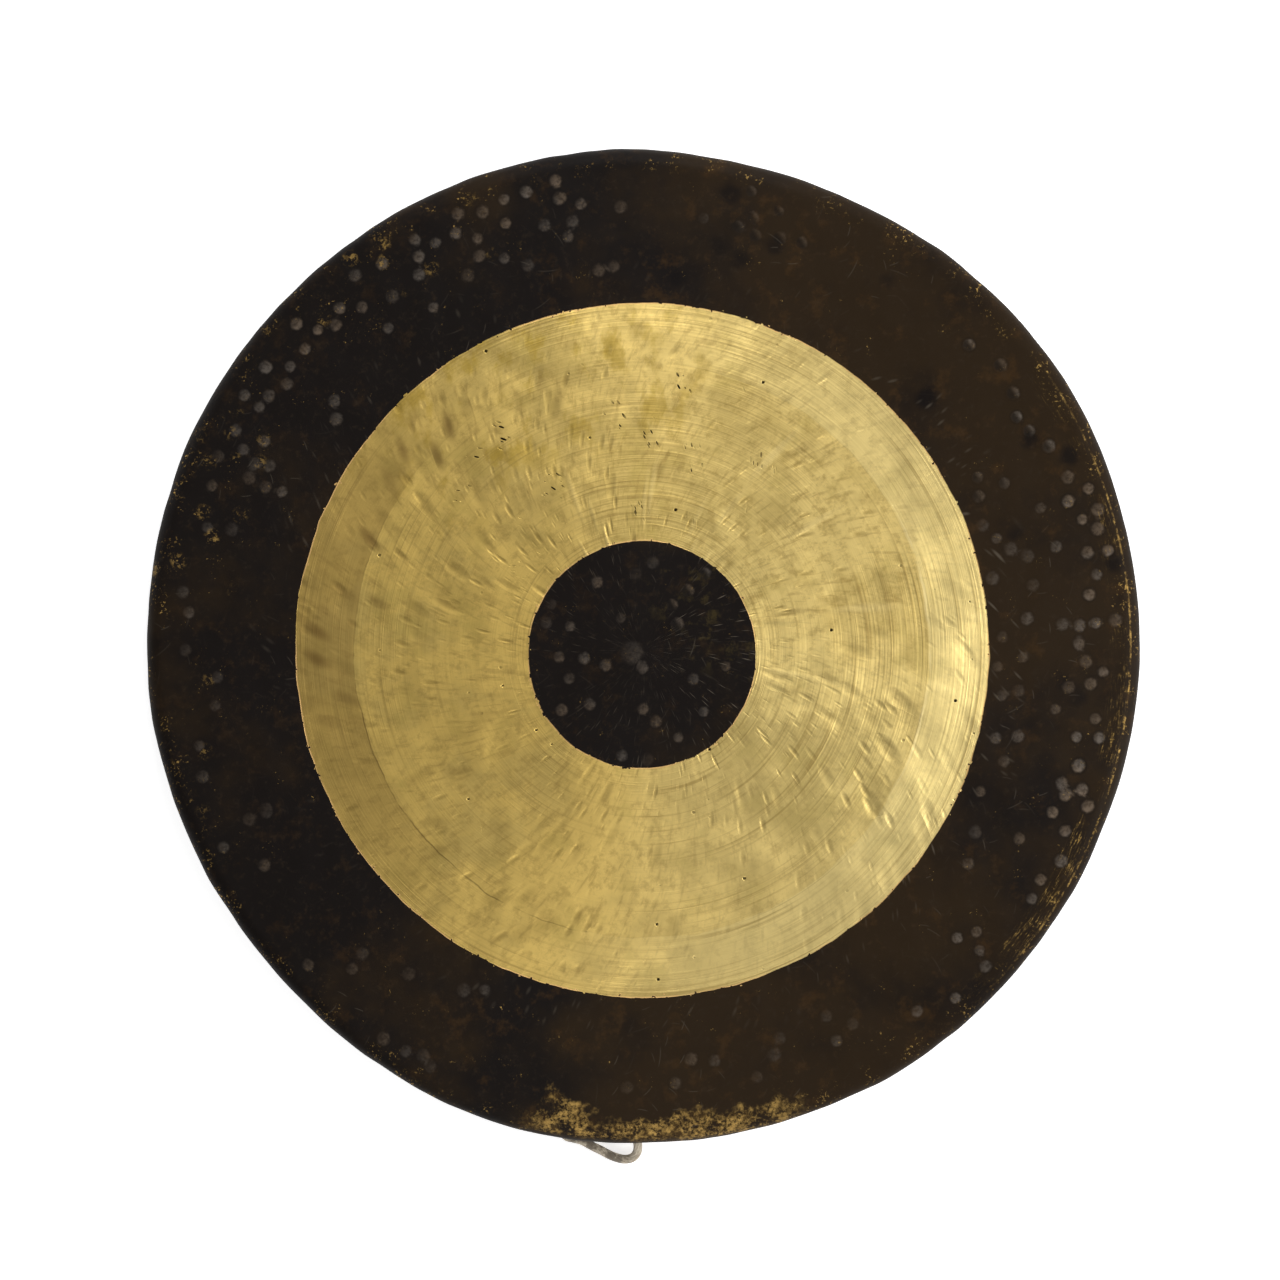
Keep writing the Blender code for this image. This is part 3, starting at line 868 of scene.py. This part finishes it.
def wear_on_face(paint, place, angle, radius, grit, cloud, marks):
    """Specks scattered over the skin, on the hammer marks, and as flakes at the top left."""
    top_left = paint.toward(angle, 155, 0.60, 0.88)
    top_left = paint.times(top_left, paint.rise(radius, 0.240, 0.262))
    likely = paint.add(cloud, paint.times(top_left, 0.05))
    scattered = paint.times(paint.rise(grit, 0.62, 0.73), paint.rise(likely, 0.57, 0.68))
    on_marks = paint.times(marks, paint.rise(grit, 0.56, 0.68), paint.rise(cloud, 0.48, 0.62))
    away, chance = paint.cells(paint.scaled(place, (1.0, 1.0, 0.3)), 58.0)
    flakes = paint.times(paint.rise(away, 0.36, 0.14), paint.rise(chance, 0.46, 0.58), top_left, 0.55)
    flakes = paint.times(flakes, paint.patches(place, 300.0, 0.50, 0.60, 3.0, 0.7))
    return scattered, on_marks, flakes


def wear(paint, place, angle, radius, marks):
    """Where the dark skin has rubbed off, 0 to 1."""
    _, _, height = paint.parts(place)
    profile = paint.math("SUBTRACT", radius, height)
    upper = paint.rise(height, 0.016, 0.036)
    grit = paint.noise(place, 520.0, 3.0, 0.7)
    cloud = paint.noise(place, 70.0, 3.0, 0.6)
    broad = paint.noise(place, 32.0, 2.0)
    total = wear_by_holes(paint, angle, radius, upper, grit, cloud, broad, profile)
    specks = paint.times(paint.rise(radius, 0.284, 0.292), paint.rise(grit, 0.57, 0.66))
    thinner = paint.add(0.15, paint.times(upper, 0.85))
    specks = paint.times(specks, paint.rise(cloud, 0.50, 0.62), thinner)
    on_right = wear_on_right(paint, angle, radius, upper, grit, cloud, broad, profile)
    on_face = wear_on_face(paint, place, angle, radius, grit, cloud, marks)
    for more in (specks, *on_right, *on_face):
        total = paint.math("MAXIMUM", total, more)
    return total


def skin_scratches(paint, place, angle, radius, on_disc, lean):
    """Fine scratches all over the dark skin, and short streaks beside the ring."""
    long_ones = scratches(paint, place, 0.019, 0.015, 0.0006, 0.66)
    long_ones = paint.times(long_ones, paint.add(0.5, paint.times(on_disc, 0.5)))
    mirrored = paint.scaled(place, (1.0, -1.0, 1.0))
    short_ones = paint.times(scratches(paint, mirrored, 0.010, 0.008, 0.0005, 0.62), 0.7)
    both = paint.math("MAXIMUM", long_ones, short_ones)
    both = paint.times(both, paint.add(0.12, paint.patches(place, 13.0, 0.50, 0.66, 3.0)))
    streaks = strokes(paint, angle, radius, lean, 0.0026, 0.011, 0.36, 0.45)
    near_right = paint.times(paint.toward(angle, 0, 0.45, 0.9), 1.35)
    near_left = paint.times(paint.toward(angle, 140, 0.60, 0.95), 0.5)
    near_bottom = paint.times(paint.toward(angle, 262, 0.60, 0.95), 0.4)
    where = paint.add(0.20, near_right, near_left, near_bottom)
    near_ring = paint.times(paint.rise(radius, 0.246, 0.222), where)
    return paint.add(both, paint.times(streaks, near_ring, 0.9))


def dark_skin(paint, place, angle, radius, disc_radius, lean, mark_layers, rubbed):
    """The dark skin's colour with its marks and their painted light and shade, stains, wear and scratches,
    and its relief in metres.
    """
    worn_and_lit, shade, bowl = mark_layers
    colour = skin_tones(paint, place, angle, radius)
    grain = paint.patches(place, 420.0, 0.32, 0.62, 3.0, 0.65)
    mark_tone = paint.mix(paint.patches(place, 38.0, 0.40, 0.60, 1.0), MARK_GREY, MARK_BROWN)
    # The marks' grey wear together with their painted lit crescents.
    colour = paint.over(colour, mark_tone, worn_and_lit, paint.add(0.40, paint.times(grain, 0.60)))
    on_disc = paint.rise(radius, 0.090, 0.070)
    upper_right = paint.toward(angle, 35, 0.45, 0.9)
    spots = paint.patches(place, 85.0, 0.52, 0.70, 4.0, 0.75)
    off_centre = paint.rise(disc_radius, 0.018, 0.034)
    colour = paint.over(colour, SKIN_STAIN, upper_right, off_centre, on_disc, spots, 0.60)
    colour = paint.over(colour, MARK_SHADE, shade)
    dirt = paint.add(paint.noise(place, 320.0, 3.0, 0.7), paint.noise(place, 75.0, 3.0, 0.6))
    colour = paint.over(colour, paint.mix(paint.rise(dirt, 0.78, 1.22), WORN_GOLD, WORN_DIRTY), rubbed)
    scratched = skin_scratches(paint, place, angle, radius, on_disc, lean)
    colour = paint.over(colour, SKIN_SCRATCH, scratched, paint.add(0.38, paint.times(on_disc, 0.30)))

    height = paint.add(
        paint.times(paint.noise(place, 500.0, 3.0, 0.6), 0.00004),
        paint.times(scratched, -0.00003),
        paint.times(paint.noise(place, 80.0, 2.0), 0.00010),
        paint.times(bowl, -MARK_DEPTH),
    )
    return colour, height


def gong_material():
    """The dark skin and the scraped ring. What hammering and wear left shows on the front only."""
    paint = Paint("hammered_bronze")
    place = paint.place()
    radius, angle = paint.polar(place, RING_CENTRE)
    disc_radius, _ = paint.polar(place, DISC_CENTRE)
    rim_radius, _ = paint.polar(place, (0, 0))
    front = paint.attribute("front")
    lean = paint.add(2.2, paint.swing(place, 7.0, 5.0, 1.0))
    depth = scraped_edge(paint, place, radius, disc_radius)
    bare = paint.rise(depth, -0.0002, 0.0003)
    mark_layers = hammer_mark_layers(paint, place, angle, front)
    # The marks' wear together with their painted lit crescents
    marks = mark_layers[0]
    rubbed = paint.times(wear(paint, place, angle, rim_radius, marks), front)
    ring_colour, ring_height = scraped_ring(paint, place, angle, radius, depth, lean)
    skin_colour, skin_height = dark_skin(paint, place, angle, radius, disc_radius, lean, mark_layers, rubbed)
    paint.surface("Base Color", paint.mix(bare, skin_colour, ring_colour))

    metal = paint.math("MAXIMUM", paint.times(rubbed, 0.8), paint.times(marks, 0.35))
    paint.surface("Metallic", paint.math("MAXIMUM", bare, metal))
    uneven = paint.noise(place, 35.0, 4.0, 0.6)
    dark_rough = paint.blend(marks, paint.blend(uneven, 0.42, 0.62), 0.34)
    bright_rough = paint.blend(uneven, 0.34, 0.48)
    paint.surface("Roughness", paint.blend(bare, dark_rough, bright_rough))
    scraped_off = paint.times(bare, -0.00012)
    paint.bump(paint.add(paint.blend(bare, skin_height, ring_height), scraped_off))

    paint.shader.inputs["Specular IOR Level"].default_value = 0.06
    paint.shader.inputs["Anisotropic"].default_value = 0.45
    paint.shader.inputs["Anisotropic Rotation"].default_value = 0.25
    tangent = paint.node("Tangent", {}, direction_type="RADIAL", axis="Z").outputs[0]
    paint.surface("Tangent", tangent)
    return paint.material


def build_gong():
    gong = bpy.data.objects.new("bronze_gong", gong_mesh())
    bpy.context.scene.collection.objects.link(gong)
    drill_holes(gong)
    gong.data.shade_smooth()
    gong.data.set_sharp_from_angle(angle=SHARP_ANGLE)
    gong.data.materials.clear()
    gong.data.materials.append(gong_material())
    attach(gong, "gong")
    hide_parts("gong")


# ---------------------------------------------------------------- cord


def knot_bight(way):
    """One half of the reef knot, from one leg round the closed end to the other leg.

    way is 1 for the half that comes from the left, whose legs lie low, and -1 for its partner.
    """

    def place(along, across, level):
        height = level if way > 0 else 1 - level
        return KNOT + Vector((way * along, across, C + KNOT_LIFT * height))

    there = [place(*spot) for spot in KNOT_BIGHT]
    back = [place(along, -across, level) for along, across, level in reversed(KNOT_BIGHT)]
    return there + [place(*KNOT_END)] + back


def by_knot(*spots):
    """Places given from the knot's middle, at the height of a cord that lies on the surface."""
    return [KNOT + Vector((along, across, C + lift)) for along, across, lift in spots]


def cord_route():
    """The cord's points from one loose end through the knot, round the loop, and to the other loose end."""
    left_tail = by_knot((-0.0408, 0.0070, 0), (-0.0300, 0.0042, 0), (-0.0190, 0.0030, 0))
    left_leg = by_knot((-0.0190, -0.0030, 0))
    right_leg = by_knot((0.0310, -0.0043, 0), (0.0245, -0.0033, 0.0012), (0.0180, -0.0030, 0.0044))
    right_tail = by_knot((0.0180, 0.0030, 0.0044), (0.0245, 0.0036, 0.0012))
    right_tail += by_knot((0.0320, 0.0050, 0), (0.0408, 0.0070, 0))
    loop = [Vector(point) for point in LEFT_RUN + BIGHT + RIGHT_RUN]
    first, second = knot_bight(1), knot_bight(-1)[::-1]
    return left_tail + first + left_leg + loop + right_leg + second + right_tail


def catmull_rom(before, start, end, after, t):
    leave, arrive = (end - before) / 2, (after - start) / 2
    return (
        start * (2 * t**3 - 3 * t**2 + 1)
        + leave * (t**3 - 2 * t**2 + t)
        + end * (3 * t**2 - 2 * t**3)
        + arrive * (t**3 - t**2)
    )


def even_points(route, spacing):
    """Points this far apart on one smooth curve through the route."""
    fine, last = [], len(route) - 1
    for index in range(last):
        before, after = route[max(index - 1, 0)], route[min(index + 2, last)]
        for step in range(CURVE_STEPS):
            fine.append(catmull_rom(before, route[index], route[index + 1], after, step / CURVE_STEPS))
    fine.append(route[last])
    points = np.array(fine)
    along = np.concatenate([[0], np.cumsum(np.linalg.norm(np.diff(points, axis=0), axis=1))])
    goals = np.linspace(0, along[-1], round(along[-1] / spacing) + 1)
    even = np.stack([np.interp(goals, along, points[:, axis]) for axis in range(3)], axis=1)
    even[:, 2] = np.maximum(even[:, 2], C)
    return even, goals


def cord_size(along, total):
    """The cord's radius at this length along it, which closes to a rounded tip at both ends."""
    to_end = min(along, total - along)
    if to_end >= CORD_RADIUS:
        return CORD_RADIUS
    taper = np.sqrt(np.clip(1 - (1 - to_end / CORD_RADIUS) ** 2, 0, 1))
    return CORD_RADIUS * max(taper, TIP_SIZE)


def tube_faces(rows, sides):
    """The faces of a tube with this many rows of points, closed at both ends."""
    faces = []
    for row in range(rows - 1):
        for spot in range(sides):
            a, b = row * sides + spot, row * sides + (spot + 1) % sides
            faces.append((a, b, b + sides, a + sides))
    faces.append(tuple(range(sides))[::-1])
    faces.append(tuple(range((rows - 1) * sides, rows * sides)))
    return faces


def cord_mesh(points, along):
    """A closed tube with the relief of three strands laid round each other."""
    ways = np.gradient(points, axis=0)
    ways /= np.linalg.norm(ways, axis=1)[:, None]
    around = 2 * pi * np.arange(CORD_SIDES) / CORD_SIDES
    side = np.cross(ways[0], (0, 0, 1))
    rows = []
    for index, (point, way) in enumerate(zip(points, ways)):
        side = side - way * (side @ way)
        side /= np.linalg.norm(side)
        up = np.cross(way, side)
        strand = np.abs(np.cos(1.5 * around - along[index] * 2 * pi / STRAND_PITCH * 0.5))
        size = cord_size(along[index], along[-1]) * (STRAND_LOW + STRAND_RELIEF * strand)
        rows.append(point + np.outer(np.cos(around) * size, side) + np.outer(np.sin(around) * size, up))
    mesh = bpy.data.meshes.new("hanging_cord")
    mesh.from_pydata(np.concatenate(rows).tolist(), [], tube_faces(len(points), CORD_SIDES))
    carried = (("along", np.repeat(along, CORD_SIDES)), ("around", np.tile(around, len(points))))
    for name, values in carried:
        mesh.attributes.new(name, "FLOAT", "POINT").data.foreach_set("value", values)
    return mesh


def cord_material():
    """Twisted cotton, grubby, and cleaner where it isn't handled."""
    paint = Paint("grubby_cotton")
    place = paint.place()
    along, around = paint.attribute("along"), paint.attribute("around")
    twist = paint.add(around, paint.times(along, -2 * pi / STRAND_PITCH / 3))
    fibre = paint.noise(paint.wrapped(twist, along, 3.2, 240.0), 1.0, 3.0, 0.65)
    colour = paint.mix(paint.rise(fibre, 0.30, 0.70), COTTON_DARK, COTTON_PALE)
    x, _, _ = paint.parts(place)
    handled = paint.rise(x, -0.010, -0.022)
    soiled = paint.add(paint.noise(place, 130.0, 4.0, 0.65), paint.times(handled, 0.09))
    colour = paint.over(colour, COTTON_GRIME, paint.rise(soiled, 0.50, 0.64), 0.82)
    paint.surface("Base Color", colour)
    paint.shader.inputs["Roughness"].default_value = 0.9
    paint.shader.inputs["Sheen Weight"].default_value = 0.25
    fuzz = paint.noise(place, 1800.0, 2.0)
    paint.bump(paint.add(paint.times(fibre, 0.00030), paint.times(fuzz, 0.00012)))
    return paint.material


def build_cord():
    points, along = even_points(cord_route(), CORD_SPACING)
    cord = bpy.data.objects.new("hanging_cord", cord_mesh(points, along))
    bpy.context.scene.collection.objects.link(cord)
    cord.data.shade_smooth()
    cord.data.materials.append(cord_material())
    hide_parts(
        "cord_bight",
        "cord_run_left",
        "cord_run_right",
        "cord_knot",
        "cord_tail_left",
        "cord_tail_right",
    )
    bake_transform(cord)


# ---------------------------------------------------------------- stage


def build_camera():
    """Straight above the gong, with the cord at the bottom of the picture."""
    data = bpy.data.cameras.new("camera")
    data.sensor_width = SENSOR_WIDTH
    data.lens = SENSOR_WIDTH * CAMERA_DISTANCE / PICTURE_WIDTH
    camera = bpy.data.objects.new("camera", data)
    camera.location = CAMERA_PLACE
    bpy.context.scene.collection.objects.link(camera)
    bpy.context.scene.camera = camera
    bpy.context.scene.view_settings.view_transform = "Standard"


def build_light(name, place, size, power):
    """A square light that points at the middle of the gong and isn't seen itself."""
    data = bpy.data.lights.new(name, "AREA")
    data.shape = "RECTANGLE"
    data.size = data.size_y = size
    data.energy = power
    light = bpy.data.objects.new(name, data)
    light.location = place
    light.rotation_euler = (-Vector(place)).to_track_quat("-Z", "Y").to_euler()
    light.visible_camera = False
    bpy.context.scene.collection.objects.link(light)


def build_world():
    """A soft glow that is stronger from one side, and plain white to the camera."""
    world = bpy.data.worlds.new("studio")
    world.use_nodes = True
    bpy.context.scene.world = world
    tree = world.node_tree
    shade = tree.nodes["Background"]
    shade.inputs["Color"].default_value = WHITE
    way = tree.nodes.new("ShaderNodeTexCoord")
    slope = tree.nodes.new("ShaderNodeVectorMath")
    slope.operation = "DOT_PRODUCT"
    slope.inputs[1].default_value = SKY_WAY
    tree.links.new(way.outputs["Generated"], slope.inputs[0])
    spread = tree.nodes.new("ShaderNodeMapRange")
    for socket, value in SKY_RANGE:
        spread.inputs[socket].default_value = value
    tree.links.new(slope.outputs["Value"], spread.inputs["Value"])
    tree.links.new(spread.outputs[0], shade.inputs["Strength"])
    white = tree.nodes.new("ShaderNodeBackground")
    white.inputs["Color"].default_value = WHITE
    seen = tree.nodes.new("ShaderNodeLightPath")
    mixed = tree.nodes.new("ShaderNodeMixShader")
    tree.links.new(seen.outputs["Is Camera Ray"], mixed.inputs[0])
    tree.links.new(shade.outputs[0], mixed.inputs[1])
    tree.links.new(white.outputs[0], mixed.inputs[2])
    tree.links.new(mixed.outputs[0], tree.nodes["World Output"].inputs["Surface"])


def floor_material():
    """Matt and nearly white, and glowing a little where the gong doesn't cover it."""
    paint = Paint("pale_floor")
    place = paint.place()
    colour = paint.mix(paint.noise(place, 3.0), FLOOR_DARK, FLOOR_PALE)
    paint.surface("Base Color", colour)
    paint.shader.inputs["Roughness"].default_value = 0.9
    paint.shader.inputs["Specular IOR Level"].default_value = 0.0
    paint.shader.inputs["Emission Color"].default_value = WHITE
    radius, _ = paint.polar(place, (0, 0))
    uncovered = paint.rise(radius, *FLOOR_COVERED)
    paint.surface("Emission Strength", paint.times(uncovered, FLOOR_GLOW))
    return paint.material


def build_floor():
    mesh = bpy.data.meshes.new("floor")
    shape = bmesh.new()
    bmesh.ops.create_grid(shape, x_segments=1, y_segments=1, size=FLOOR_HALF)
    shape.to_mesh(mesh)
    shape.free()
    floor = bpy.data.objects.new("floor", mesh)
    bpy.context.scene.collection.objects.link(floor)
    mesh.materials.append(floor_material())


build_camera()
build_cord()
build_gong()
for light in LIGHTS:
    build_light(*light)
build_world()
build_floor()
